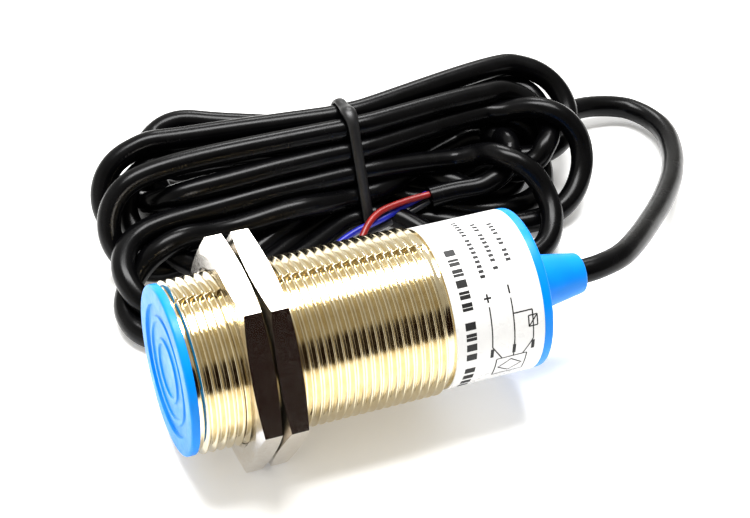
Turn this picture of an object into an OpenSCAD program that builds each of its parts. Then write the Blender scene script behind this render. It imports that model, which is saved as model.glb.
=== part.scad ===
// Inductive proximity sensor in an M30 x 1.5 barrel, with two thin lock nuts
// and a bare-ended three-core cable folded into a tied hank.
// The barrel lies along X, its sensing face towards -X, over the floor z = 0.

/* [Barrel] */
// Outside diameter of the mounting thread
thread_d = 30; // [30:0.5:33]
// Pitch of the mounting thread
thread_pitch = 1.5; // [1.25:0.25:1.5]
// Length from the sensing face to the back of the rear flange
body_l = 65; // [62:0.5:70]
// Wall between the thread's root and the bore
barrel_wall = 1.1; // [0.8:0.1:1.1]

/* [Face cap] */
// Thickness of the face cap's flange
face_flange_t = 1.5; // [1.2:0.1:2]
// Depth of the round recess in the sensing face
face_recess_depth = 0.5; // [0.3:0.1:0.8]

/* [Label] */
// Length of the printed label behind the thread
label_l = 16.3; // [12:0.1:18]

/* [Rear cap] */
// Thickness of the rear cap's flange
rear_flange_t = 1.8; // [1.4:0.1:2.4]
// Length of the cable gland behind the rear flange
gland_l = 11.9; // [9:0.1:14]
// Radius of the gland where it meets the flange
gland_base_r = 5.6; // [5:0.1:7]
// Radius of the gland at its tip
gland_tip_r = 3.5; // [3.2:0.1:4.5]

/* [Nuts] */
// Width of each nut across its flats
nut_af = 36; // [36:0.5:41]
// Thickness of each nut
nut_t = 4.15; // [3:0.05:5]
// Distance from the sensing face to the middle of the front nut
front_nut_at = 12; // [8:0.5:14]
// Gap between the two nuts
nut_gap = 0.4; // [0.3:0.1:4]
// Turn of each nut away from level, in opposite directions
nut_turn = 0.45; // [0:0.05:3]

/* [Circuit board] */
// Length of the circuit board
board_l = 43; // [42:1:44]
// Width of the circuit board
board_w = 22; // [20:0.5:22]

/* [Cable] */
// Diameter of the cable's jacket
cable_d = 4.5; // [4.2:0.1:4.8]
// Diameter of each insulated core
core_d = 1.3; // [1:0.1:1.4]

/* [Hank] */
// Height of the folded hank over the floor
hank_h = 21.6; // [20:0.2:24]
// Width of the hank where the tie holds it
waist_w = 20.5; // [17:0.5:21]
// Width of the tie along the hank
tie_w = 2.2; // [1.5:0.1:4]
// Thickness of the tie
tie_t = 1.1; // [0.8:0.1:1.5]

/* [Hidden] */

$fn = 96;

// Frame: the box of the sensor without its cable is centred on the origin
overall_l = body_l + gland_l;
nut_r = nut_af / 2;
axis_z = nut_r * (cos(nut_turn) + tan(30) * sin(nut_turn));

// Barrel
thread_r = thread_d / 2;
thread_depth = 0.6 * thread_pitch;
root_r = thread_r - thread_depth;
bore_r = root_r - barrel_wall;
crest_flat = thread_pitch / 8;
flank = thread_depth * tan(30);
nose_l = 1.1;
nose_r = root_r + 0.2;
thread_from = face_flange_t + nose_l;
rear_flange_at = body_l - rear_flange_t;
label_at = rear_flange_at - label_l;
undercut_l = 0.7;
ridges = floor((label_at - undercut_l - thread_from) / thread_pitch);
thread_to = thread_from + ridges * thread_pitch;
undercut_r = root_r - 0.3;
label_t = 0.2;
seat_r = root_r + 0.1;

// Caps
plug_gap = 0.05;
plug_r = bore_r - plug_gap;
plug_wall = 1.05;
cap_bore_r = plug_r - plug_wall;
face_flange_r = thread_r - 0.25;
face_recess_r = thread_r - 3.45;
face_wall = 1.5;
face_skirt_to = 14;
rear_flange_r = seat_r;
rear_skirt_l = 5.7;
cable_r = cable_d / 2;
gland_bore_r = cable_r + 0.05;
gland_round = 0.7;

// Coil and core, measured from the sensing face
core_r = cap_bore_r - 0.15;
core_from = face_recess_depth + face_wall + 0.1;
core_to = core_from + 9;
core_floor = core_to - 2.5;
post_r = 4.9;
post_bore_r = 2.7;
slot_r = core_r - 1.85;
bobbin_gap = 0.2;
bobbin_from = core_from + bobbin_gap;
bobbin_to = core_floor - bobbin_gap;
bobbin_r = post_r + 0.1;
bobbin_tube_r = bobbin_r + 0.6;
bobbin_flange_r = slot_r - bobbin_gap;
bobbin_flange_t = 0.5;
coil_lead_r = 0.3;
coil_lead_y = 7.5;
coil_lead_hole_r = 0.8;

// Circuit board: the insulated cores lie flat on it and run level into the cable
board_from = 13;
board_t = 1.2;
core_wire_r = core_d / 2;
board_top = -0.8;
wire_z = board_top + core_wire_r;
wire_gap = 1.4;
wires_from = board_from + board_l - 8;
jacket_from = rear_flange_at - 4.6;
coil_leads_to = board_from + 2;
epoxy_from = board_from + board_l - 6;
epoxy_to = rear_flange_at - rear_skirt_l - 0.1;
epoxy_gap = 0.05;
pad_r = 0.7;
pad_h = 0.9;
clamp_r = 3.4;
clamp_l = 2.6;
clamp_at = rear_flange_at - 3.4;
rear_plate_t = 0.6;

// Nuts
nut_bore_r = thread_r + 0.08;
nut_edge_drop = 0.6;
nut_corner_r = nut_r / cos(30);
nut_bore_chamfer = 0.5;
rear_nut_at = front_nut_at + nut_t + nut_gap;

// Route of the cable from the gland to the hank
run_points = [
    [overall_l / 2, 0, axis_z], [42, 0.2, 18.1], [47.5, 2.2, 17.4], [53.5, 7, 15.6],
    [60.3, 13.9, 13], [68.3, 22.6, 10], [75.9, 32.4, 7.2], [81.2, 42, 5],
    [83.6, 51, 3.7], [80.6, 59, 3.4], [72.5, 61.5, 4.2], [63, 59.5, 5.5], [58, 58, 6.5]
];
// Route of the cable's end out of the hank, and of the three bare cores
tail_points = [[37, 40.5, 7.2], [32, 41, 7.2], [27, 41, 7]];
brown_points = [
    [27, 41, 7.9], [21.8, 40.9, 7.6], [15.5, 39.6, 7.2], [11.5, 36.4, 5.8], [8, 31, 3], [6, 25, 1.6]
];
blue_points = [
    [27, 42.2, 7.1], [22, 41.2, 6.2], [16.5, 39.4, 5.7], [11, 38.4, 5.1], [6, 36.6, 4.1],
    [1, 33, 2.2], [-2, 28, 1.4]
];
black_points = [
    [27, 40.8, 6.3], [22, 40.2, 4.8], [16.5, 39.4, 3.9], [10, 38, 2.6], [3.5, 35.2, 1.5],
    [-3, 32, 0.9]
];
tin_l = 3;
tin_r = 0.45;

// Outline of the hank: two round ends joined by the tied waist
waist_x = 14.5;
waist_y = 51.7;
left_lobe = [[-28, 33.8, 12.2], [-24.5, 52, 14], [-17, 57.5, 13]];
right_lobe = [[40, 37.5, 16], [46, 46.5, 17], [45, 50, 17]];

cable_sides = 10;
core_sides = 8;

blue = [0.05, 0.45, 0.85];
nickel = [0.86, 0.8, 0.66];
black = [0.06, 0.06, 0.07];

function unit(v) = v / norm(v);

// Direction of a route at one of its points
function heading(points, i) =
    unit(points[min(i + 1, len(points) - 1)] - points[max(i - 1, 0)]);

function ring(centre, along, r, sides) =
    let (side = unit(cross([0, 0, 1], along)), up = cross(along, side))
    [for (k = [0:sides - 1]) centre + r * (cos(360 * k / sides) * side + sin(360 * k / sides) * up)];

// A round tube with one ring of corners at each point of its route
module tube(points, r, sides) {
    last = len(points) - 1;
    corners = [for (i = [0:last]) each ring(points[i], heading(points, i), r, sides)];
    walls = [for (i = [0:last - 1], k = [0:sides - 1])
        let (a = i * sides + k, b = i * sides + (k + 1) % sides)
        each [[a, a + sides, b], [b, a + sides, b + sides]]];
    start = [for (k = [0:sides - 1]) k];
    end = [for (k = [sides - 1:-1:0]) last * sides + k];
    polyhedron(points = corners, faces = concat([start, end], walls));
}

// Stands its children on the barrel's axis, pointing to the rear, behind the sensing face
module on_axis(distance) {
    translate([distance - overall_l / 2, 0, axis_z])
        rotate([0, 90, 0])
            children();
}

// A box on top of the circuit board, centred across it at y
module on_board(distance, y, l, w, h) {
    translate([distance - overall_l / 2, y - w / 2, axis_z + board_top])
        cube([l, w, h]);
}

// A round rod along the barrel, from one distance behind the sensing face to another
module rod(from, to, y, z, r) {
    translate([from - overall_l / 2, y, axis_z + z])
        rotate([0, 90, 0])
            cylinder(h = to - from, r = r, $fn = 32);
}

module threaded_barrel() {
    ridge = [for (k = [0:ridges - 1])
        let (s = thread_from + k * thread_pitch)
        each [[root_r, s], [thread_r, s + flank], [thread_r, s + flank + crest_flat],
              [root_r, s + 2 * flank + crest_flat]]];
    color(nickel)
        on_axis(0)
            rotate_extrude()
                polygon(concat(
                    [[bore_r, face_flange_t], [nose_r, face_flange_t], [nose_r, thread_from]],
                    ridge,
                    [[root_r, thread_to], [undercut_r, thread_to + 0.2], [undercut_r, label_at],
                     [seat_r, label_at], [seat_r, rear_flange_at], [bore_r, rear_flange_at]]));
}

module label() {
    color("white")
        on_axis(label_at)
            difference() {
                cylinder(h = label_l, r = seat_r + label_t);
                translate([0, 0, -1])
                    cylinder(h = label_l + 2, r = seat_r);
            }
}

module face_cap() {
    color(blue)
        on_axis(0)
            rotate_extrude()
                polygon([
                    [0, face_recess_depth], [face_recess_r, face_recess_depth],
                    [face_recess_r, 0], [face_flange_r - 0.45, 0],
                    [face_flange_r - 0.13, 0.13], [face_flange_r, 0.45],
                    [face_flange_r, face_flange_t], [plug_r, face_flange_t],
                    [plug_r, face_skirt_to], [cap_bore_r, face_skirt_to],
                    [cap_bore_r, face_recess_depth + face_wall],
                    [0, face_recess_depth + face_wall]
                ]);
}

module rear_cap() {
    color(blue)
        on_axis(0)
            rotate_extrude()
                polygon([
                    [gland_bore_r, rear_flange_at - rear_plate_t],
                    [cap_bore_r, rear_flange_at - rear_plate_t],
                    [cap_bore_r, rear_flange_at - rear_skirt_l],
                    [plug_r, rear_flange_at - rear_skirt_l],
                    [plug_r, rear_flange_at], [rear_flange_r, rear_flange_at],
                    [rear_flange_r, body_l - 0.4], [rear_flange_r - 0.4, body_l],
                    [gland_base_r, body_l], [gland_tip_r + 0.1, overall_l - gland_round],
                    [gland_tip_r - 0.3, overall_l - 0.15], [gland_tip_r - 0.7, overall_l],
                    [gland_bore_r, overall_l]
                ]);
}

// A thin hexagonal nut with both faces chamfered and its bore clear of the thread's crests
module nut(turn) {
    rim_r = nut_corner_r + 0.01;
    flat_r = nut_r - 0.2;
    difference() {
        intersection() {
            rotate([0, 0, 30 + turn])
                cylinder(h = nut_t, r = nut_corner_r, $fn = 6);
            rotate_extrude()
                polygon([
                    [0, 0], [flat_r, 0], [rim_r, nut_edge_drop],
                    [rim_r, nut_t - nut_edge_drop], [flat_r, nut_t], [0, nut_t]
                ]);
        }
        translate([0, 0, -1])
            cylinder(h = nut_t + 2, r = nut_bore_r);
        for (end = [0, 1])
            translate([0, 0, end * nut_t])
                mirror([0, 0, end])
                    translate([0, 0, -0.01])
                        cylinder(h = nut_bore_chamfer, r1 = nut_bore_r + nut_bore_chamfer, r2 = nut_bore_r);
    }
}

module front_nut() {
    color(nickel)
        on_axis(front_nut_at - nut_t / 2)
            nut(-nut_turn);
}

module rear_nut() {
    color(nickel)
        on_axis(rear_nut_at - nut_t / 2)
            nut(nut_turn);
}

// The two holes through which the coil's leads pass
module coil_lead_holes(from, to) {
    for (side = [-1, 1])
        rod(from, to, side * coil_lead_y, board_top + coil_lead_r, coil_lead_hole_r);
}

module ferrite_core() {
    color([0.22, 0.22, 0.24])
        difference() {
            on_axis(0)
                rotate_extrude()
                    polygon([
                        [post_bore_r, core_from], [post_r, core_from], [post_r, core_floor],
                        [slot_r, core_floor], [slot_r, core_from], [core_r, core_from],
                        [core_r, core_to], [post_bore_r, core_to]
                    ]);
            coil_lead_holes(core_floor - 1, core_to + 1);
        }
}

module coil_bobbin() {
    color([0.9, 0.88, 0.8])
        difference() {
            on_axis(0)
                rotate_extrude()
                    polygon([
                        [bobbin_r, bobbin_from], [bobbin_flange_r, bobbin_from],
                        [bobbin_flange_r, bobbin_from + bobbin_flange_t],
                        [bobbin_tube_r, bobbin_from + bobbin_flange_t],
                        [bobbin_tube_r, bobbin_to - bobbin_flange_t],
                        [bobbin_flange_r, bobbin_to - bobbin_flange_t],
                        [bobbin_flange_r, bobbin_to], [bobbin_r, bobbin_to]
                    ]);
            coil_lead_holes(bobbin_to - bobbin_flange_t - 0.1, bobbin_to + 1);
        }
}

module coil_winding() {
    from = bobbin_from + bobbin_flange_t + 0.1;
    to = bobbin_to - bobbin_flange_t - 0.1;
    color([0.72, 0.4, 0.2])
        on_axis(from)
            difference() {
                cylinder(h = to - from, r = bobbin_flange_r - 0.3);
                translate([0, 0, -1])
                    cylinder(h = to - from + 2, r = bobbin_tube_r + 0.1);
            }
}

module coil_leads() {
    color([0.72, 0.4, 0.2])
        for (side = [-1, 1])
            rod(bobbin_to - bobbin_flange_t - 0.1, coil_leads_to,
                side * coil_lead_y, board_top + coil_lead_r, coil_lead_r);
}

module circuit_board() {
    color([0.1, 0.4, 0.2])
        translate([board_from - overall_l / 2, -board_w / 2, axis_z + board_top - board_t])
            cube([board_l, board_w, board_t]);
}

// A small-outline chip: its body and a row of feet along each side
module chip(distance, y, l, w, h, feet, foot_pitch) {
    on_board(distance, y, l, w, h);
    for (side = [-1, 1], k = [0:feet - 1])
        on_board(distance + l / 2 + (k - (feet - 1) / 2) * foot_pitch - 0.2,
            y + side * (w / 2 + 0.5), 0.4, 1, 0.5);
}

module oscillator_ic() {
    color([0.1, 0.1, 0.1])
        chip(20, 0, 5, 4, 1.6, 4, 1.27);
}

module voltage_regulator() {
    color([0.1, 0.1, 0.1])
        chip(29, -4, 3, 1.6, 1.1, 2, 1.9);
}

module output_transistor() {
    color([0.1, 0.1, 0.1])
        chip(35, 4.3, 6.5, 3.5, 1.6, 3, 2.3);
}

module protection_diodes() {
    color([0.12, 0.12, 0.12])
        for (k = [0:2])
            on_board(40, -7.5 + 3.8 * k, 4.3, 2.6, 2.1);
}

module capacitors() {
    color([0.75, 0.6, 0.4])
        for (k = [0:2])
            on_board(27 + 4 * k, 8, 2, 1.25, 1.2);
    color([0.85, 0.65, 0.2])
        on_board(26, -8, 6, 3.2, 2.6);
}

module resistors() {
    color([0.15, 0.15, 0.16])
        for (row = [0, 1], k = [0:3])
            on_board(17 + 15.4 * row, 3.6 * k - 5.4, 1.25, 2, 0.5);
}

module indicator_led() {
    color([0.95, 0.9, 0.7])
        on_board(45.5, 8.5, 3.2, 1.6, 1.1);
}

module solder_joints() {
    color([0.8, 0.8, 0.82]) {
        for (k = [-1:1])
            translate([wires_from - pad_r - overall_l / 2, k * wire_gap, axis_z + board_top])
                cylinder(h = pad_h, r = pad_r - 0.05, $fn = 32);
        for (side = [-1, 1])
            translate([coil_leads_to + pad_r - overall_l / 2, side * coil_lead_y, axis_z + board_top])
                cylinder(h = pad_h, r = pad_r, $fn = 32);
    }
}

module epoxy_fill() {
    color([0.12, 0.12, 0.14])
        difference() {
            on_axis(epoxy_from)
                cylinder(h = epoxy_to - epoxy_from, r = bore_r - 0.1);
            translate([epoxy_from - 1 - overall_l / 2, -board_w / 2 - epoxy_gap,
                       axis_z + board_top - board_t - epoxy_gap])
                cube([board_from + board_l - epoxy_from + 1 + epoxy_gap,
                      board_w + 2 * epoxy_gap, board_t + 2 * epoxy_gap]);
            on_board(epoxy_from - 1, 0, epoxy_to - epoxy_from + 2,
                2 * (wire_gap + core_wire_r + epoxy_gap), core_d + epoxy_gap);
        }
}

module cable_clamp() {
    color([0.75, 0.75, 0.77])
        on_axis(clamp_at)
            difference() {
                cylinder(h = clamp_l, r = clamp_r);
                translate([0, 0, -1])
                    cylinder(h = clamp_l + 2, r = cable_r + 0.02);
            }
}

module cable_inside() {
    color(black)
        on_axis(jacket_from)
            cylinder(h = overall_l - jacket_from, r = cable_r);
}

module inner_wire(place) {
    rod(wires_from, jacket_from, place * wire_gap, wire_z, core_wire_r);
}

module wire_brown() {
    color([0.4, 0.12, 0.06])
        inner_wire(-1);
}

module wire_blue() {
    color([0.1, 0.15, 0.7])
        inner_wire(0);
}

module wire_black() {
    color(black)
        inner_wire(1);
}

module cable_run() {
    color(black)
        tube(run_points, cable_r, cable_sides);
}

// A closed band around the hank's waist, standing on the floor
module tie_band(grow) {
    depth = waist_w + 2 * grow;
    translate([waist_x - tie_w / 2, waist_y - depth / 2, tie_t - grow])
        cube([tie_w, depth, hank_h - tie_t + 2 * grow]);
}

module lobe(rounds) {
    hull()
        for (c = rounds)
            translate([c[0], c[1]])
                circle(r = c[2], $fn = 48);
}

module cable_hank() {
    color(black)
        difference() {
            linear_extrude(hank_h) {
                lobe(left_lobe);
                lobe(right_lobe);
                translate([left_lobe[1][0], waist_y - waist_w / 2])
                    square([right_lobe[1][0] - left_lobe[1][0], waist_w]);
            }
            translate([waist_x - tie_w / 2, 0, -1])
                cube([tie_w, 100, tie_t + 1]);
        }
}

module cable_tie() {
    color([0.1, 0.1, 0.1])
        difference() {
            tie_band(tie_t);
            translate([waist_x, waist_y, tie_t + (hank_h - tie_t) / 2])
                cube([tie_w + 2, waist_w, hank_h - tie_t], center = true);
        }
}

module cable_tail() {
    color(black)
        tube(tail_points, cable_r, cable_sides);
}

module lead_brown() {
    color([0.7, 0.08, 0.06])
        tube(brown_points, core_wire_r, core_sides);
}

module lead_blue() {
    color([0.1, 0.15, 0.8])
        tube(blue_points, core_wire_r, core_sides);
}

module lead_black() {
    color(black)
        tube(black_points, core_wire_r, core_sides);
}

// The bare tinned strands that stand out of the end of a core
module tinned_end(points) {
    end = points[len(points) - 1];
    along = heading(points, len(points) - 1);
    tube([end, end + tin_l * along], tin_r, core_sides);
}

module tinned_ends() {
    color([0.85, 0.85, 0.87]) {
        tinned_end(brown_points);
        tinned_end(blue_points);
        tinned_end(black_points);
    }
}

threaded_barrel();
label();
face_cap();
rear_cap();
front_nut();
rear_nut();
ferrite_core();
coil_bobbin();
coil_winding();
coil_leads();
circuit_board();
oscillator_ic();
voltage_regulator();
output_transistor();
protection_diodes();
capacitors();
resistors();
indicator_led();
solder_joints();
epoxy_fill();
cable_clamp();
cable_inside();
wire_brown();
wire_blue();
wire_black();
cable_run();
cable_hank();
cable_tie();
cable_tail();
lead_brown();
lead_blue();
lead_black();
tinned_ends();
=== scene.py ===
"""Looks of an inductive proximity sensor: cable hank, leads, tie, thread, nuts, caps and label."""
import math

import bmesh
import bpy
import numpy as np
from mathutils import Matrix, Vector


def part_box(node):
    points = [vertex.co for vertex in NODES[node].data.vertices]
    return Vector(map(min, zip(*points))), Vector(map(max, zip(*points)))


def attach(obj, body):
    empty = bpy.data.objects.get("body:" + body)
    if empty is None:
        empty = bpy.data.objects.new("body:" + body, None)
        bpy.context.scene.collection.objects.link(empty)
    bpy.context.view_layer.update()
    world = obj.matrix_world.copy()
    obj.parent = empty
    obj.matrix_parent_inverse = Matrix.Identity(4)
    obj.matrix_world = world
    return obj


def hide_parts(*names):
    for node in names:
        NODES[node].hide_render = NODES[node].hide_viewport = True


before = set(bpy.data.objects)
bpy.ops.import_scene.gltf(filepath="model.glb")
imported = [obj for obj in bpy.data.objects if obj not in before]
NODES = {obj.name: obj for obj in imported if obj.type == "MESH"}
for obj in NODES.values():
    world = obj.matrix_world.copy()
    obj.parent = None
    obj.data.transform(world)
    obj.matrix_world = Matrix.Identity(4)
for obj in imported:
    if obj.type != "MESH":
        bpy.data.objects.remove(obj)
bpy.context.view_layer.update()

MM = 0.001
SENSOR = "sensor"

# ---------------------------------------------------------------- dimensions, in millimetres
AXIS_Z = 18.08
FACE_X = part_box("face_cap")[0][0] / MM
REAR_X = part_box("rear_cap")[1][0] / MM

# The thread, its flat-bottomed groove and the bore behind it
THREAD_R = 15.0
PITCH = 1.5
ROOT_R = THREAD_R - 0.6 * PITCH
BORE_R = 13.0
BORE_CHAMFER = 0.4

# Distances behind the sensing face
THREAD_FROM = 1.9
THREAD_TO = 46.1
LABEL_AT = 46.9
FLANGE_AT = 63.2
BODY_L = 65.0
OVERALL_L = REAR_X - FACE_X

# The seat under the label, and the label on it
SEAT_R = 14.2
LABEL_R = 14.4

CABLE_D = 4.5
CABLE_R = CABLE_D / 2
CORE_D = 1.3
TIE_W = 2.2
TIE_T = 1.1


# ---------------------------------------------------------------- camera
VIEW_AZIMUTH = -23.043
VIEW_ELEVATION = 40.481
VIEW_ROLL = 2.555
VIEW_TARGET = (7.61, 21.06, 12.84)
VIEW_DISTANCE = 360.15
FOCAL_LENGTH = 94.35
FILM_WIDTH = 36


def place_camera():
    azimuth, elevation, roll = (math.radians(v) for v in (VIEW_AZIMUTH, VIEW_ELEVATION, VIEW_ROLL))
    target = Vector(VIEW_TARGET) * MM
    distance = VIEW_DISTANCE * MM
    back = Vector((math.sin(azimuth) * math.cos(elevation),
                   -math.cos(azimuth) * math.cos(elevation),
                   math.sin(elevation)))
    right = (-back).cross(Vector((0, 0, 1))).normalized()
    up = right.cross(-back)
    level = right * math.cos(roll) + up * math.sin(roll)
    tilted = up * math.cos(roll) - right * math.sin(roll)
    data = bpy.data.cameras.new("photo_camera")
    data.lens = FOCAL_LENGTH
    data.sensor_width = FILM_WIDTH
    data.clip_start = 0.01
    camera = bpy.data.objects.new("photo_camera", data)
    camera.matrix_world = (Matrix.Translation(target + back * distance)
                           @ Matrix((level, tilted, back)).transposed().to_4x4())
    bpy.context.scene.collection.objects.link(camera)
    bpy.context.scene.camera = camera


place_camera()


# ---------------------------------------------------------------- helpers for pieces
def add(name, data, material, replaced=(), body=SENSOR):
    piece = bpy.data.objects.new(name, data)
    bpy.context.scene.collection.objects.link(piece)
    data.materials.append(material)
    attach(piece, body)
    if replaced:
        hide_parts(*replaced)
    return piece


def smooth(mesh, sharp=30):
    mesh.shade_smooth()
    mesh.set_sharp_from_angle(angle=math.radians(sharp))


def on_axis(s, r, a):
    """A point s behind the sensing face and r from the axis, at angle a: 0 is up and 90 faces -Y."""
    a = math.radians(a)
    return Vector((FACE_X + s, -r * math.sin(a), AXIS_Z + r * math.cos(a))) * MM


def grid_mesh(name, rows):
    """A mesh over rows of points, closed round each row and from the last row to the first."""
    mesh = bpy.data.meshes.new(name)
    n = len(rows[0])
    points = [p for row in rows for p in row]
    faces = []
    for i in range(len(rows)):
        for k in range(n):
            a = i * n + k
            b = i * n + (k + 1) % n
            c = ((i + 1) % len(rows)) * n + (k + 1) % n
            d = ((i + 1) % len(rows)) * n + k
            faces.append((a, b, c, d))
    mesh.from_pydata(points, [], faces)
    work = bmesh.new()
    work.from_mesh(mesh)
    bmesh.ops.remove_doubles(work, verts=work.verts, dist=1e-7)
    bmesh.ops.dissolve_degenerate(work, edges=work.edges, dist=1e-8)
    bmesh.ops.recalc_face_normals(work, faces=work.faces)
    work.to_mesh(mesh)
    work.free()
    return mesh


def rounded(profile, radii, steps=4):
    """The closed profile with a fillet of the given radius at each corner that has one."""
    out = []
    n = len(profile)
    for i, radius in enumerate(radii):
        p = Vector(profile[i])
        if not radius:
            out.append(tuple(p))
            continue
        u = (Vector(profile[i - 1]) - p).normalized()
        v = (Vector(profile[(i + 1) % n]) - p).normalized()
        half = u.angle(v) / 2
        cut = radius / math.tan(half)
        start, end = p + u * cut, p + v * cut
        for k in range(steps + 1):
            t = k / steps
            out.append(tuple(start * (1 - t) ** 2 + p * 2 * t * (1 - t) + end * t ** 2))
    return out


def lathe(name, profile, segments=160):
    """A ring turned about the barrel's axis from a closed profile of (radius, distance) points."""
    rows = []
    for k in range(segments):
        a = 360 * k / segments
        rows.append([on_axis(s, r, a) for r, s in profile])
    return grid_mesh(name, rows)


# ---------------------------------------------------------------- cable route
# From the gland down to the hank, and the cable's end out of the hank
RUN = [(38.45, 0, 18.08), (42, 0.2, 18.1), (47.5, 2.2, 17.4), (53.5, 7, 15.6), (60.3, 13.9, 13),
       (68.3, 22.6, 10), (75.9, 32.4, 7.2), (81.2, 42, 5), (83.6, 51, 3.7), (80.6, 59, 3.4),
       (72.5, 61.5, 4.2), (63, 59.5, 5.5)]
INTO_HANK = [(54, 57.5, 6.5), (36, 57, 4)]
TAIL = [(37, 40.5, 7.2), (32, 41, 7.2), (27, 41, 7)]

# The tie's place, and the height of a row of strands inside it
WAIST_X = 14.5
WAIST_Y = 52.8
ROW = 3.8
FLOOR_ROW = CABLE_R + TIE_T + 0.05
TIE_REACH = 3

# Where the strands pass through the tie: offset across the hank, and row above the floor.
# F strands pass it towards the sensing face, and B strands towards the gland.
SLOTS = {"F0": (-9.2, 0), "F1": (-4.6, 0), "F3": (0, 0), "F4": (4.6, 0),
         "B0": (-6.9, 1), "F6": (-2.3, 1), "F2": (2.3, 1), "F7": (6.9, 1),
         "B1": (-4.6, 2), "B7": (0, 2), "F5": (4.6, 2), "B2": (-2.3, 3), "B6": (2.3, 3), "B5": (6.9, 3),
         "B3": (0, 4), "B4": (4.6, 4)}
TURNS = (7, 6, 5, 4, 3, 2, 1, 0)
# Each fold's furthest x, the (y, z) of its end at a B strand, and of its end at an F strand or the tail
LEFT = [(-38.3, (41.5, 7), (22.8, 2.4)), (-37.2, (46, 11), (28, 2.4)), (-28, (49, 14), (64, 2.6)),
        (-36.6, (52.5, 18.3), (42.5, 2.4)), (-35.7, (61.5, 17.5), (51.5, 2.4)), (-27, (69, 15.5), (57, 2.4)),
        (-31, (64.5, 11), (38, 2.4)), (-26, (48, 6), (68, 2.4))]
RIGHT = [(49, (56, 6.5), (40.5, 7.2)), (50.3, (48, 9), (20.5, 2.6)), (60.8, (55, 13.5), (31, 2.4)),
         (58, (56.5, 17), (42.5, 3)), (64, (63.5, 18), (48, 5)), (59, (66.5, 12), (50, 2.4)),
         (54, (62, 8), (43, 2.4)), (56, (60, 8), (36, 2.4))]
SPACING = 2.25

# Room for the cable beside the barrel and the nuts, along X and across
SENSOR_FROM = FACE_X - 4
BARREL_TO = 27
NUTS_TO = 12
NUT_CORNER = 20.9
NUT_TOP = 20
CLEARANCE = 0.3
FLAT_SLOPE = 1.732


def fold(reach, back, low, steps=6):
    """Half a turn that starts at back, reaches out along X and ends at low."""
    back, low = np.array(back, float), np.array(low, float)
    middle, half = (back + low) / 2, (back - low) / 2
    radius = np.linalg.norm(half)
    side = np.sign(reach)
    turn = []
    for t in np.linspace(0, np.pi, steps):
        y, z = middle + half * np.cos(t)
        turn.append((reach + side * radius * (np.sin(t) - 1), y, z))
    return turn


def through_tie(slot, heading):
    offset, row = SLOTS[slot]
    y, z = WAIST_Y + offset, FLOOR_ROW + row * ROW
    return [(WAIST_X - TIE_REACH * heading, y, z), (WAIST_X, y, z), (WAIST_X + TIE_REACH * heading, y, z)]


def cable_plan():
    """The listed points of the whole cable, and whether the settling may move each of them."""
    points = list(RUN)
    held = [True] * len(points)
    points += INTO_HANK
    held += [False] * len(INTO_HANK)
    for k in TURNS:
        for part, is_held in ((through_tie("F%d" % k, -1), True), (fold(*LEFT[k])[::-1], False),
                              (through_tie("B%d" % k, 1), True), (fold(*RIGHT[k]), False)):
            points += part
            held += [is_held] * len(part)
    points += TAIL
    held += [True] * len(TAIL)
    return np.array(points, float), held


def curve_through(points, step):
    """Centripetal Catmull-Rom curve through the points, sampled every step."""
    points = np.asarray(points, float)
    ends = np.vstack([2 * points[0] - points[1], points, 2 * points[-1] - points[-2]])
    samples, owner = [], []
    for i in range(1, len(ends) - 2):
        p = ends[i - 1:i + 3]
        t = np.r_[0, np.cumsum(np.sqrt(np.linalg.norm(np.diff(p, axis=0), axis=1)))]
        n = max(4, int(np.linalg.norm(p[2] - p[1]) / 0.5))
        for x in np.linspace(t[1], t[2], n, endpoint=False):
            a = [((t[j + 1] - x) * p[j] + (x - t[j]) * p[j + 1]) / (t[j + 1] - t[j]) for j in range(3)]
            b = [((t[j + 2] - x) * a[j] + (x - t[j]) * a[j + 1]) / (t[j + 2] - t[j]) for j in range(2)]
            samples.append(((t[2] - x) * b[0] + (x - t[1]) * b[1]) / (t[2] - t[1]))
            owner.append(i - 1)
    samples.append(points[-1])
    owner.append(len(points) - 1)
    samples = np.array(samples)
    run = np.r_[0, np.cumsum(np.linalg.norm(np.diff(samples, axis=0), axis=1))]
    wanted = np.linspace(0, run[-1], int(run[-1] / step) + 1)
    even = np.stack([np.interp(wanted, run, samples[:, i]) for i in range(3)], 1)
    near = np.minimum(np.searchsorted(run, wanted), len(owner) - 1)
    return even, [owner[i] for i in near]


def clear_of_sensor(path):
    """Pushes the cable back out of the barrel and the nuts."""
    y, z = path[:, 1], path[:, 2] - AXIS_Z
    r = np.hypot(y, z)
    room = THREAD_R + CABLE_R + CLEARANCE
    inside = (r < room) & (path[:, 0] < BARREL_TO) & (path[:, 0] > SENSOR_FROM)
    path[inside, 1] += (room - r[inside]) * 0.8
    hexagon = NUT_CORNER - np.abs(z) / FLAT_SLOPE + CABLE_R / math.cos(math.radians(30))
    beside = (path[:, 0] < NUTS_TO) & (path[:, 0] > SENSOR_FROM)
    inside = beside & (y < hexagon) & (np.abs(z) < NUT_TOP)
    path[inside, 1] += (hexagon[inside] - y[inside]) * 0.8


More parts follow.
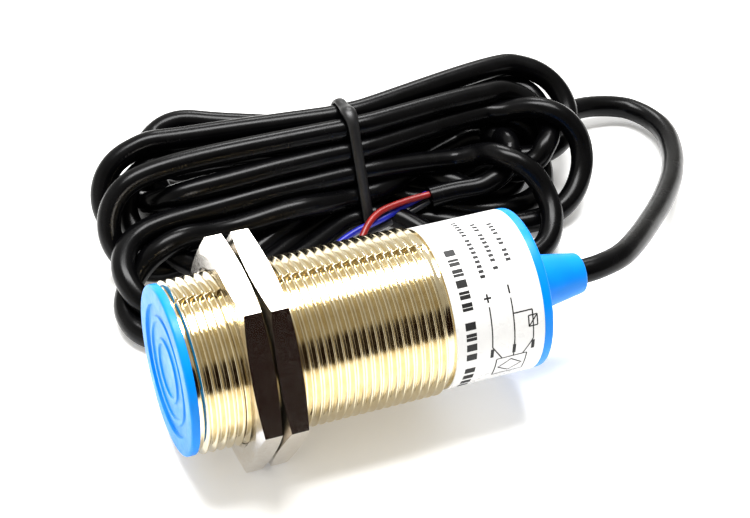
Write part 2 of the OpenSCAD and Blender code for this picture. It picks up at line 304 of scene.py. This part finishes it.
def settle(path, held, rounds=420, tightest=10.5):
    """Moves the cable towards strands a diameter apart, gentle bends and even spacing, above the floor."""
    to_plan, to_plan_late, late = 0.01, 0.002, 0.7
    apart, unbend, even_out, smoothing = 0.3, 0.25, 0.25, 0.08
    neighbours = 3.2 * CABLE_D
    plan, path = path.copy(), path.copy()
    n = len(path)
    step = np.linalg.norm(np.diff(path, axis=0), axis=1).mean()
    one, other = np.triu_indices(n, int(math.ceil(neighbours / step)))
    for turn in range(rounds):
        path += (plan - path) * (to_plan if turn < late * rounds else to_plan_late)
        gap = path[other] - path[one]
        far = np.linalg.norm(gap, axis=1)
        close = far < CABLE_D
        away = gap[close] / np.maximum(far[close], 1e-6)[:, None]
        push = away * (CABLE_D - far[close])[:, None] * apart
        total, count = np.zeros_like(path), np.zeros(n)
        for index, sign in ((one[close], -1), (other[close], 1)):
            np.add.at(total, index, sign * push)
            np.add.at(count, index, 1)
        path += total / np.sqrt(np.maximum(count, 1))[:, None]
        for s in (2, 3):
            bow = path[s:-s] - (path[:-2 * s] + path[2 * s:]) / 2
            size = np.linalg.norm(bow, axis=1)
            allowed = tightest * (1 - math.cos(s * step / tightest))
            ease = bow * (np.maximum(size - allowed, 0) / np.maximum(size, 1e-6))[:, None] * unbend
            path[s:-s] -= ease
            path[:-2 * s] += ease / 2
            path[2 * s:] += ease / 2
        path[1:-1] -= (path[1:-1] - (path[:-2] + path[2:]) / 2) * smoothing
        for _ in range(2):
            link = path[1:] - path[:-1]
            size = np.linalg.norm(link, axis=1)
            pull = link * ((size - step) / np.maximum(size, 1e-6) * even_out)[:, None]
            path[:-1] += pull
            path[1:] -= pull
        path[:, 2] = np.maximum(path[:, 2], CABLE_R)
        clear_of_sensor(path)
        path[held] = plan[held]
    return path


def cord_curve(name, path, diameter, sides=5):
    """A curve of one open spline along the path, with a round bevel."""
    data = bpy.data.curves.new(name, "CURVE")
    data.dimensions = "3D"
    data.bevel_depth = diameter / 2 * MM
    data.bevel_resolution = sides
    data.use_fill_caps = True
    spline = data.splines.new("NURBS")
    spline.points.add(len(path) - 1)
    for point, place in zip(spline.points, path):
        point.co = (*(c * MM for c in place), 1)
    spline.order_u = 4
    spline.use_endpoint_u = True
    spline.resolution_u = 3
    spline.use_smooth = True
    return data


# ---------------------------------------------------------------- materials
def socket(shader, name, value):
    shader.inputs[name].default_value = value


class Finish:
    """A procedural material: a Principled shader whose colour, roughness and bump come from noise."""

    def __init__(self, name, colour, roughness, metallic=0.0):
        self.material = bpy.data.materials.new(name)
        self.material.use_nodes = True
        self.tree = self.material.node_tree
        self.shader = self.tree.nodes["Principled BSDF"]
        self.place = self.tree.nodes.new("ShaderNodeTexCoord").outputs["Object"]
        self.bump = None
        socket(self.shader, "Base Color", (*colour, 1))
        socket(self.shader, "Roughness", roughness)
        socket(self.shader, "Metallic", metallic)

    def noise(self, size_mm, detail=3.0, stretch=(1, 1, 1)):
        node = self.tree.nodes.new("ShaderNodeTexNoise")
        node.inputs["Scale"].default_value = 1 / (size_mm * MM)
        node.inputs["Detail"].default_value = detail
        mapping = self.tree.nodes.new("ShaderNodeMapping")
        mapping.inputs["Scale"].default_value = stretch
        self.tree.links.new(self.place, mapping.inputs["Vector"])
        self.tree.links.new(mapping.outputs["Vector"], node.inputs["Vector"])
        return node.outputs["Fac"]

    def spread(self, factor, low, high):
        node = self.tree.nodes.new("ShaderNodeMapRange")
        node.inputs["From Min"].default_value = 0.3
        node.inputs["From Max"].default_value = 0.7
        node.inputs["To Min"].default_value = low
        node.inputs["To Max"].default_value = high
        self.tree.links.new(factor, node.inputs["Value"])
        return node.outputs["Result"]

    def vary_colour(self, first, second, size_mm, detail=3.0):
        mix = self.tree.nodes.new("ShaderNodeMix")
        mix.data_type = "RGBA"
        mix.inputs["A"].default_value = (*first, 1)
        mix.inputs["B"].default_value = (*second, 1)
        self.tree.links.new(self.spread(self.noise(size_mm, detail), 0, 1), mix.inputs["Factor"])
        self.tree.links.new(mix.outputs["Result"], self.shader.inputs["Base Color"])
        return self

    def vary_roughness(self, low, high, size_mm):
        self.tree.links.new(self.spread(self.noise(size_mm, 4.0), low, high), self.shader.inputs["Roughness"])
        return self

    def add_bump(self, size_mm, depth_mm, strength=1.0, stretch=(1, 1, 1), detail=2.0):
        node = self.tree.nodes.new("ShaderNodeBump")
        node.inputs["Strength"].default_value = strength
        node.inputs["Distance"].default_value = depth_mm * MM
        self.tree.links.new(self.noise(size_mm, detail, stretch), node.inputs["Height"])
        if self.bump:
            self.tree.links.new(self.bump.outputs["Normal"], node.inputs["Normal"])
        self.bump = node
        self.tree.links.new(node.outputs["Normal"], self.shader.inputs["Normal"])
        return self

    def set(self, **values):
        for name, value in values.items():
            socket(self.shader, name.replace("_", " "), value)
        return self


def make_finishes():
    made = {}

    def new(slot, colour, roughness, metallic=0.0):
        made[slot] = Finish(slot + "_finish", colour, roughness, metallic)
        return made[slot]

    new("nickel_brass", (0.77, 0.69, 0.51), 0.13, 1.0) \
        .vary_colour((0.78, 0.70, 0.52), (0.71, 0.61, 0.41), 2.5).vary_roughness(0.09, 0.17, 1.2) \
        .add_bump(0.8, 0.002, 0.4)
    new("nut_nickel", (0.78, 0.74, 0.68), 0.2, 1.0) \
        .vary_colour((0.80, 0.77, 0.72), (0.72, 0.67, 0.60), 0.8, detail=5.0) \
        .vary_roughness(0.14, 0.22, 0.5).add_bump(0.35, 0.003, 0.5, detail=4.0)
    new("blue_plastic", (0.0, 0.25, 0.78), 0.36) \
        .vary_colour((0.0, 0.26, 0.82), (0.0, 0.22, 0.70), 6).vary_roughness(0.32, 0.42, 1.5) \
        .add_bump(0.35, 0.008, 0.4).set(Specular_IOR_Level=0.28)
    new("label_film", (0.74, 0.74, 0.74), 0.3) \
        .vary_colour((0.76, 0.76, 0.76), (0.72, 0.72, 0.725), 5).vary_roughness(0.24, 0.36, 2) \
        .add_bump(1.5, 0.01, 0.3)
    new("cable_pvc", (0.0018, 0.0018, 0.0021), 0.25) \
        .vary_colour((0.0015, 0.0015, 0.0018), (0.003, 0.003, 0.0036), 4).vary_roughness(0.21, 0.29, 3) \
        .add_bump(2.0, 0.01, 0.4).set(Specular_IOR_Level=0.17)
    new("tie_plastic", (0.006, 0.006, 0.007), 0.4) \
        .vary_colour((0.005, 0.005, 0.006), (0.009, 0.009, 0.010), 1.5).add_bump(0.4, 0.02, 0.6)
    new("core_brown", (0.20, 0.008, 0.006), 0.4) \
        .vary_colour((0.24, 0.008, 0.006), (0.16, 0.007, 0.005), 2).add_bump(0.3, 0.01, 0.5)
    new("core_blue", (0.006, 0.012, 0.26), 0.4) \
        .vary_colour((0.006, 0.012, 0.30), (0.005, 0.01, 0.2), 2).add_bump(0.3, 0.01, 0.5)
    new("core_black", (0.01, 0.01, 0.012), 0.4) \
        .vary_colour((0.008, 0.008, 0.01), (0.016, 0.016, 0.018), 2).add_bump(0.3, 0.01, 0.5)
    new("solder", (0.75, 0.75, 0.76), 0.25, 1.0) \
        .vary_colour((0.8, 0.8, 0.8), (0.6, 0.6, 0.62), 0.4).add_bump(0.25, 0.03, 0.8)
    new("ferrite", (0.05, 0.05, 0.055), 0.6) \
        .vary_colour((0.04, 0.04, 0.045), (0.08, 0.08, 0.085), 0.5).add_bump(0.3, 0.02, 0.7)
    new("bobbin_plastic", (0.75, 0.72, 0.62), 0.4) \
        .vary_colour((0.78, 0.75, 0.66), (0.7, 0.66, 0.56), 2).add_bump(0.5, 0.01, 0.4)
    new("copper", (0.72, 0.33, 0.18), 0.25, 1.0) \
        .vary_colour((0.78, 0.38, 0.2), (0.6, 0.25, 0.12), 0.5).add_bump(0.25, 0.05, 0.8, (1, 0.2, 0.2))
    new("board_laminate", (0.02, 0.16, 0.07), 0.4) \
        .vary_colour((0.02, 0.18, 0.08), (0.015, 0.12, 0.05), 1.2).add_bump(0.4, 0.015, 0.5)
    new("chip_black", (0.02, 0.02, 0.022), 0.5) \
        .vary_colour((0.018, 0.018, 0.02), (0.03, 0.03, 0.032), 0.5).add_bump(0.2, 0.01, 0.6)
    new("ceramic_tan", (0.5, 0.33, 0.16), 0.45) \
        .vary_colour((0.55, 0.37, 0.18), (0.42, 0.27, 0.12), 0.6).add_bump(0.2, 0.01, 0.5)
    new("led_resin", (0.85, 0.75, 0.45), 0.2) \
        .vary_colour((0.9, 0.8, 0.5), (0.8, 0.68, 0.36), 0.8).add_bump(0.5, 0.01, 0.3)
    new("epoxy", (0.02, 0.02, 0.025), 0.25) \
        .vary_colour((0.018, 0.018, 0.022), (0.035, 0.035, 0.04), 2).add_bump(1.5, 0.05, 0.4)
    new("clamp_steel", (0.6, 0.6, 0.62), 0.3, 1.0) \
        .vary_colour((0.66, 0.66, 0.68), (0.5, 0.5, 0.52), 0.8).add_bump(0.3, 0.02, 0.5)
    new("ink", (0.008, 0.008, 0.009), 0.6).vary_colour((0.007, 0.007, 0.008), (0.014, 0.014, 0.015), 0.4)
    return {slot: finish.material for slot, finish in made.items()}


FINISH = make_finishes()

# ---------------------------------------------------------------- cable
def cable_path():
    """The settled path of the whole cable, evenly spaced."""
    plan, held_points = cable_plan()
    even, owners = curve_through(plan, SPACING)
    held = np.array([held_points[i] for i in owners])
    for place, is_held in zip(plan, held_points):
        if is_held:
            nearest = int(np.argmin(np.linalg.norm(even - place, axis=1)))
            even[nearest] = place
            held[nearest] = True
    return settle(even, held)


CABLE_PATH = cable_path()
cable = add("cable", cord_curve("cable", CABLE_PATH, CABLE_D), FINISH["cable_pvc"],
            ("cable_run", "cable_hank", "cable_tail"))

# ---------------------------------------------------------------- cores at the cable's end
LEADS = {
    "lead_brown": [(27, 41, 7.9), (21.8, 40.9, 7.6), (15.5, 39.6, 7.2), (11.5, 36.4, 5.8), (8, 31, 3),
                   (6, 25, 1.6)],
    "lead_blue": [(27, 42.2, 7.1), (22, 41.2, 6.2), (16.5, 39.4, 5.7), (11, 38.4, 5.1), (6, 36.6, 4.1),
                  (1, 33, 2.2), (-2, 28, 1.4)],
    "lead_black": [(27, 40.8, 6.3), (22, 40.2, 4.8), (16.5, 39.4, 3.9), (10, 38, 2.6), (3.5, 35.2, 1.5),
                   (-3, 32, 0.9)],
}
for name, points in LEADS.items():
    path, _ = curve_through(points, 1.5)
    core = add(name + "_core", cord_curve(name, path, CORE_D, 3),
               FINISH[name.replace("lead", "core")], (name,))

# ---------------------------------------------------------------- tie round the waist
def hull_outline(centres, grow, arc=8):
    """The taut band round circles of radius grow at the centres, as evenly spaced points."""
    ring = [(y + grow * math.cos(t), z + grow * math.sin(t))
            for y, z in centres for t in np.linspace(0, 2 * math.pi, 8 * arc, endpoint=False)]
    ring = sorted(set(ring))

    def half(points):
        chain = []
        for p in points:
            while len(chain) > 1:
                (ay, az), (by, bz) = chain[-2:]
                if (by - ay) * (p[1] - az) - (bz - az) * (p[0] - ay) > 0:
                    break
                chain.pop()
            chain.append(p)
        return chain[:-1]

    outline = np.array(half(ring) + half(ring[::-1]))
    closed = np.vstack([outline, outline[:1]])
    run = np.r_[0, np.cumsum(np.linalg.norm(np.diff(closed, axis=0), axis=1))]
    wanted = np.linspace(0, run[-1], 96, endpoint=False)
    return np.stack([np.interp(wanted, run, closed[:, i]) for i in range(2)], 1)


def tie_mesh(sides=14, clasp_y=53.5):
    """A closed band round the strands, thicker at its clasp on top."""
    centres = [(WAIST_Y + offset, FLOOR_ROW + row * ROW) for offset, row in SLOTS.values()]
    outline = hull_outline(centres, CABLE_R + TIE_T / 2)
    rows = []
    for i, (y, z) in enumerate(outline):
        before, after = outline[i - 1], outline[(i + 1) % len(outline)]
        along = (after - before) / np.linalg.norm(after - before)
        outward = np.array((along[1], -along[0]))
        hump = 1 + 0.9 * math.exp(-((y - clasp_y) / 2.0) ** 2) * (z > FLOOR_ROW + 2 * ROW)
        row = []
        for k in range(sides):
            t = 2 * math.pi * k / sides
            x = WAIST_X + TIE_W / 2 * math.cos(t) * (0.55 + 0.45 * hump)
            lift = TIE_T / 2 * math.sin(t) * hump + TIE_T / 2 * (hump - 1)
            row.append(Vector((x, y + outward[0] * lift, z + outward[1] * lift)) * MM)
        rows.append(row)
    mesh = grid_mesh("cable_tie_band", rows)
    smooth(mesh, 80)
    return mesh


add("cable_tie_band", tie_mesh(), FINISH["tie_plastic"], ("cable_tie",))


# ---------------------------------------------------------------- threaded barrel
def thread_rows(segments=160):
    """The barrel's outside as a true helix that fades out at both ends, and its plain bore."""
    crest, flank, round_over, fade_over = PITCH / 8, 0.6 * PITCH * math.tan(math.radians(30)), 0.05, 0.45
    front, lip = 1.5, ROOT_R + 0.2
    tooth = [(0, ROOT_R), (round_over, ROOT_R + 0.03), (flank - round_over, THREAD_R - 0.07),
             (flank, THREAD_R - 0.015), (flank + crest / 2, THREAD_R), (flank + crest, THREAD_R - 0.015),
             (flank + crest + round_over, THREAD_R - 0.07), (2 * flank + crest - round_over, ROOT_R + 0.03),
             (2 * flank + crest, ROOT_R)]
    rows = []
    for k in range(segments):
        turn = k / segments
        a = 360 * turn
        line = [(front, BORE_R + BORE_CHAMFER), (front, ROOT_R + 0.05), (1.62, lip), (THREAD_FROM, lip)]
        for ridge in range(-1, int((THREAD_TO - THREAD_FROM) / PITCH) + 1):
            for offset, r in tooth:
                s = THREAD_FROM + (ridge + turn) * PITCH + offset
                fade = min(max(min(s - THREAD_FROM, THREAD_TO - s) / fade_over, 0), 1)
                line.append((min(max(s, THREAD_FROM), THREAD_TO), ROOT_R + (r - ROOT_R) * fade))
        line += [(THREAD_TO, ROOT_R), (THREAD_TO + 0.15, ROOT_R - 0.3), (LABEL_AT - 0.1, ROOT_R - 0.3),
                 (LABEL_AT, SEAT_R - 0.1), (LABEL_AT, SEAT_R), (FLANGE_AT, SEAT_R),
                 (FLANGE_AT, BORE_R + BORE_CHAMFER), (FLANGE_AT - BORE_CHAMFER, BORE_R), (1.9, BORE_R)]
        rows.append([on_axis(s, r, a) for s, r in line])
    return rows


barrel = grid_mesh("barrel", thread_rows())
smooth(barrel, 40)
add("barrel", barrel, FINISH["nickel_brass"], ("threaded_barrel",))


# ---------------------------------------------------------------- moulded caps
CAP_R = 14.75
CAP_FLANGE_T = 1.5
REAR_FLANGE_R = 14.35
SKIRT_R = 12.95
SKIRT_IN = 11.9
FACE_SKIRT_TO = 14
FACE_T = 2
RECESS = 0.5
RING = 0.2
REAR_SKIRT_FROM = 57.5
GLAND_ROOT_R = 5.6
GLAND_TIP_R = 3.6


def face_cap_mesh():
    """The blue cap over the sensing face, with a raised rim and two plain rings in its recess."""
    outline = [(0.001, RECESS), (4.6, RECESS), (4.8, RING), (5.6, RING), (5.8, RECESS), (8.4, RECESS),
               (8.6, RING), (9.4, RING), (9.6, RECESS), (11.45, RECESS), (11.6, 0), (CAP_R, 0),
               (CAP_R, CAP_FLANGE_T), (SKIRT_R, CAP_FLANGE_T), (SKIRT_R, FACE_SKIRT_TO),
               (SKIRT_IN, FACE_SKIRT_TO), (SKIRT_IN, FACE_T), (0.001, FACE_T)]
    radii = [0] + [0.08] * 9 + [0.12, 0.5, 0.08, 0, 0.2, 0.2, 0.2, 0]
    mesh = lathe("face_cap_moulding", rounded(outline, radii))
    smooth(mesh, 35)
    return mesh


def rear_cap_mesh():
    """The blue rear plug with its flange, gland cone and the rounded mouth that the cable leaves by."""
    bore = CABLE_R + 0.03
    inner = FLANGE_AT - 0.6
    outline = [(bore, inner), (SKIRT_IN, inner), (SKIRT_IN, REAR_SKIRT_FROM), (SKIRT_R, REAR_SKIRT_FROM),
               (SKIRT_R, FLANGE_AT), (REAR_FLANGE_R, FLANGE_AT), (REAR_FLANGE_R, BODY_L),
               (GLAND_ROOT_R, BODY_L), (GLAND_TIP_R, OVERALL_L), (bore, OVERALL_L)]
    radii = [0, 0.2, 0.2, 0.2, 0, 0.1, 0.55, 0.9, 0.75, 0.3]
    mesh = lathe("rear_cap_moulding", rounded(outline, radii, 6))
    smooth(mesh, 35)
    return mesh


add("face_cap_moulding", face_cap_mesh(), FINISH["blue_plastic"], ("face_cap",))
add("rear_cap_moulding", rear_cap_mesh(), FINISH["blue_plastic"], ("rear_cap",))


# ---------------------------------------------------------------- label print
BLOCK_R = LABEL_R + 0.015
LINE_R = LABEL_R + 0.02
DEGREES_A_STEP = 3
PLUS_AT = 53.4
MINUS_AT = 57.5
OUTPUT_AT = 61.0
LINES_END = 84
BOX_FROM = 96


def ink_patch(work, s0, s1, a0, a1):
    """A rectangle of ink on the label, from s0 to s1 along the barrel and from angle a0 to a1 round it."""
    steps = max(1, int(abs(a1 - a0) / DEGREES_A_STEP))
    ring = [[work.verts.new(on_axis(s, BLOCK_R, a0 + (a1 - a0) * k / steps)) for s in (s0, s1)]
            for k in range(steps + 1)]
    for first, second in zip(ring, ring[1:]):
        work.faces.new((first[0], first[1], second[1], second[0]))


def ink_line(work, s0, a0, s1, a1, width=0.22):
    """A straight pen line on the unrolled label between two places."""
    per_degree = math.radians(1) * LABEL_R
    run = Vector((s1 - s0, (a1 - a0) * per_degree))
    across = Vector((-run.y, run.x)).normalized() * width / 2
    steps = max(1, int(abs(a1 - a0) / DEGREES_A_STEP))
    corners = []
    for k in range(steps + 1):
        s, a = s0 + (s1 - s0) * k / steps, a0 + (a1 - a0) * k / steps
        corners.append([work.verts.new(on_axis(s + side * across.x, LINE_R, a + side * across.y / per_degree))
                        for side in (-1, 1)])
    for first, second in zip(corners, corners[1:]):
        work.faces.new((first[0], first[1], second[1], second[0]))


def words(work, s, height, a_from, counts, width, gap):
    """A line of plain blocks in groups, as long as words, that runs round the barrel."""
    a = a_from
    for count in counts:
        for _ in range(count):
            ink_patch(work, s - height / 2, s + height / 2, a, a - width)
            a -= width + gap
        a -= width


def print_label():
    """Plain blocks in place of print, and a generic wiring sketch."""
    mesh = bpy.data.meshes.new("label_print")
    work = bmesh.new()
    words(work, 49.6, 1.9, 128, (4, 4, 6), 5.4, 2.6)
    words(work, 53.6, 0.9, 34, (9, 6), 2.2, 1.5)
    words(work, 56.3, 0.9, 30, (1, 7, 3), 2.2, 1.5)
    words(work, 59.0, 0.9, 26, (3, 2, 4), 2.2, 1.5)
    # wiring: supply signs, two supply lines, an output line with a load box, and the sensor's box
    ink_line(work, PLUS_AT, 45, PLUS_AT, 51, 0.3)
    ink_line(work, 52.75, 48, 54.05, 48, 0.3)
    ink_line(work, MINUS_AT, 42, MINUS_AT, 48, 0.3)
    ink_line(work, PLUS_AT, 54, PLUS_AT, LINES_END)
    ink_line(work, MINUS_AT, 51, MINUS_AT, LINES_END)
    ink_line(work, OUTPUT_AT, 62, OUTPUT_AT, LINES_END)
    ink_line(work, MINUS_AT, 62, OUTPUT_AT, 62)
    for s, a, l, w in ((60.2, 66, 1.6, 8), (54.4, BOX_FROM, 5.6, 20)):
        ink_line(work, s, a, s + l, a)
        ink_line(work, s, a + w, s + l, a + w)
        ink_line(work, s, a, s, a + w)
        ink_line(work, s + l, a, s + l, a + w)
    ink_line(work, 60.2, 74, 61.8, 66)
    ink_line(work, PLUS_AT, LINES_END, 55.4, BOX_FROM)
    ink_line(work, MINUS_AT, LINES_END, MINUS_AT, BOX_FROM)
    ink_line(work, OUTPUT_AT, LINES_END, 59.2, BOX_FROM)
    for s0, a0, s1, a1 in ((57.2, 99, 59.4, 106), (59.4, 106, 57.2, 113), (57.2, 113, 55.0, 106),
                           (55.0, 106, 57.2, 99)):
        ink_line(work, s0, a0, s1, a1)
    for s in (PLUS_AT, MINUS_AT, OUTPUT_AT):
        ink_patch(work, s - 0.3, s + 0.3, 85.5, 93)
    bmesh.ops.recalc_face_normals(work, faces=work.faces)
    work.to_mesh(mesh)
    work.free()
    return mesh


add("label_print", print_label(), FINISH["ink"])

# ---------------------------------------------------------------- finishes on the CAD pieces that stay
NUT_EDGE = 0.18
NUT_EDGE_ANGLE = 24

for name, node in NODES.items():
    if name in ("front_nut", "rear_nut"):
        bevel = node.modifiers.new("edge", "BEVEL")
        bevel.width = NUT_EDGE * MM
        bevel.segments = 2
        bevel.limit_method = "ANGLE"
        bevel.angle_limit = math.radians(NUT_EDGE_ANGLE)
    for i, material in enumerate(node.data.materials):
        node.data.materials[i] = FINISH[material.name.split(".")[0]]


# ---------------------------------------------------------------- floor, light and surroundings
FLOOR_SIZE = 3.0
FLOOR_DROP = 0.05


def make_floor():
    mesh = bpy.data.meshes.new("floor")
    work = bmesh.new()
    bmesh.ops.create_grid(work, x_segments=8, y_segments=8, size=FLOOR_SIZE)
    work.to_mesh(mesh)
    work.free()
    floor = bpy.data.objects.new("floor", mesh)
    bpy.context.scene.collection.objects.link(floor)
    paper = Finish("floor_paper", (0.9, 0.9, 0.9), 0.9) \
        .vary_colour((0.91, 0.91, 0.91), (0.89, 0.89, 0.89), 60) \
        .set(Emission_Color=(1, 1, 1, 1), Emission_Strength=0.2)
    mesh.materials.append(paper.material)
    floor.location.z = -FLOOR_DROP * MM


def softbox(name, place, aim, size, power):
    data = bpy.data.lights.new(name, "AREA")
    data.shape = "RECTANGLE"
    data.size, data.size_y = size
    data.energy = power
    lamp = bpy.data.objects.new(name, data)
    lamp.location = place
    lamp.rotation_euler = (Vector(aim) - Vector(place)).to_track_quat("-Z", "Y").to_euler()
    bpy.context.scene.collection.objects.link(lamp)


def make_world():
    """A pale surround with the dim front of the room, which bright metal reflects as its dark band."""
    world = bpy.data.worlds.new("studio")
    bpy.context.scene.world = world
    world.use_nodes = True
    tree = world.node_tree
    sky = tree.nodes["Background"]
    place = tree.nodes.new("ShaderNodeTexCoord").outputs["Generated"]

    def blend(toward, low, high, first, second):
        """second where the direction points along toward, and first away from it."""
        dot = tree.nodes.new("ShaderNodeVectorMath")
        dot.operation = "DOT_PRODUCT"
        dot.inputs[1].default_value = toward
        tree.links.new(place, dot.inputs[0])
        ramp = tree.nodes.new("ShaderNodeMapRange")
        ramp.interpolation_type = "SMOOTHSTEP"
        ramp.inputs["From Min"].default_value = low
        ramp.inputs["From Max"].default_value = high
        tree.links.new(dot.outputs["Value"], ramp.inputs["Value"])
        mix = tree.nodes.new("ShaderNodeMix")
        mix.data_type = "RGBA"
        tree.links.new(ramp.outputs["Result"], mix.inputs["Factor"])
        for end, colour in (("A", first), ("B", second)):
            if isinstance(colour, tuple):
                mix.inputs[end].default_value = (*colour, 1)
            else:
                tree.links.new(colour, mix.inputs[end])
        return mix.outputs["Result"]

    above_behind, front = (0.0, 0.75, 0.66), (0.2, -0.936, 0.29)
    right, left = (1.0, 0.0, 0.0), (-1.0, 0.0, 0.0)
    room = blend(above_behind, 0.3, 0.9, (0.44, 0.42, 0.37), (0.85, 0.84, 0.80))
    room = blend(front, 0.88, 0.95, room, (0.014, 0.004, 0.002))
    room = blend(right, 0.5, 0.9, room, (0.30, 0.29, 0.27))
    room = blend(left, 0.55, 0.95, room, (1.15, 1.12, 1.05))
    tree.links.new(room, sky.inputs["Color"])
    sky.inputs["Strength"].default_value = 1.0


make_floor()
make_world()
softbox("key_overhead", place=(0.02, 0.10, 0.55), aim=(0.01, 0.04, 0.0), size=(0.42, 0.20), power=5.0)
softbox("back_panel", place=(0.22, 0.55, 0.48), aim=(0.0, 0.0, 0.03), size=(0.22, 0.18), power=1.6)
bpy.context.scene.view_settings.view_transform = "Standard"
bpy.context.scene.view_settings.look = "Medium High Contrast"
